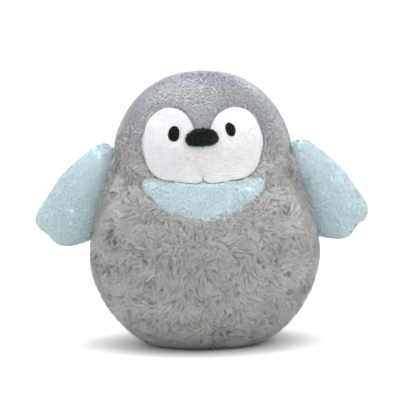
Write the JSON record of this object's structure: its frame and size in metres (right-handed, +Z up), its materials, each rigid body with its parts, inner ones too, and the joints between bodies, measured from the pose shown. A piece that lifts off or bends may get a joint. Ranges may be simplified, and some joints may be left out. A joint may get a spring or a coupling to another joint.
{
  "type": "plush penguin",
  "caption": "Round sitting plush baby penguin with grey pile, a white velour face, a pale blue chest patch and two padded wings hinged on their root seams.",
  "frame": {"origin": "middle of the flat base, on the surface that the toy sits on", "axes": "+Z up, the face looks along -Y, +X towards the penguin's own left wing"},
  "size_m": [0.1668, 0.1148, 0.1378],
  "materials": {
    "head_plush": "matte",
    "body_plush": "matte",
    "face_velour": "matte",
    "blue_fleece": "matte",
    "eye_thread": "satin",
    "beak_velour": "matte",
    "polyester_fibre": "matte",
    "sewing_thread": "satin",
    "pouch_cloth": "matte",
    "pellet_plastic": "satin",
    "satin_ribbon": "satin"
  },
  "bodies": {
    "body": {"head_front_panel": "head_plush", "head_back_left_panel": "head_plush", "head_back_right_panel": "head_plush", "body_front_panel": "body_plush", "body_back_left_panel": "body_plush", "body_back_right_panel": "body_plush", "base_panel": "body_plush", "face_left_panel": "face_velour", "face_right_panel": "face_velour", "chest_patch": "blue_fleece", "left_eye": "eye_thread", "right_eye": "eye_thread", "beak_cover": "beak_velour", "beak_filling": "polyester_fibre", "left_wing_stitches": "sewing_thread", "right_wing_stitches": "sewing_thread", "body_stuffing": "polyester_fibre", "pellet_pouch": "pouch_cloth", "pellets": "pellet_plastic", "panel_seam_thread": "sewing_thread", "closing_stitches": "sewing_thread", "care_label": "satin_ribbon"},
    "left_wing": {"left_wing_front_panel": "blue_fleece", "left_wing_back_panel": "blue_fleece", "left_wing_filling": "polyester_fibre", "left_wing_root_seam": "blue_fleece"},
    "right_wing": {"right_wing_front_panel": "blue_fleece", "right_wing_back_panel": "blue_fleece", "right_wing_filling": "polyester_fibre", "right_wing_root_seam": "blue_fleece"}
  },
  "joints": [
    {"name": "left_wing_swing", "type": "hinge", "parent": "body", "child": "left_wing", "pos_m": [0.0487, 0, 0.074], "axis": [0.2588, 0, -0.9659], "range_deg": [-55, 55], "stiffness_Nm_per_rad": 0.004},
    {"name": "right_wing_swing", "type": "hinge", "parent": "body", "child": "right_wing", "pos_m": [-0.0487, 0, 0.074], "axis": [0.2588, 0, 0.9659], "range_deg": [-55, 55], "stiffness_Nm_per_rad": 0.004}
  ]
}
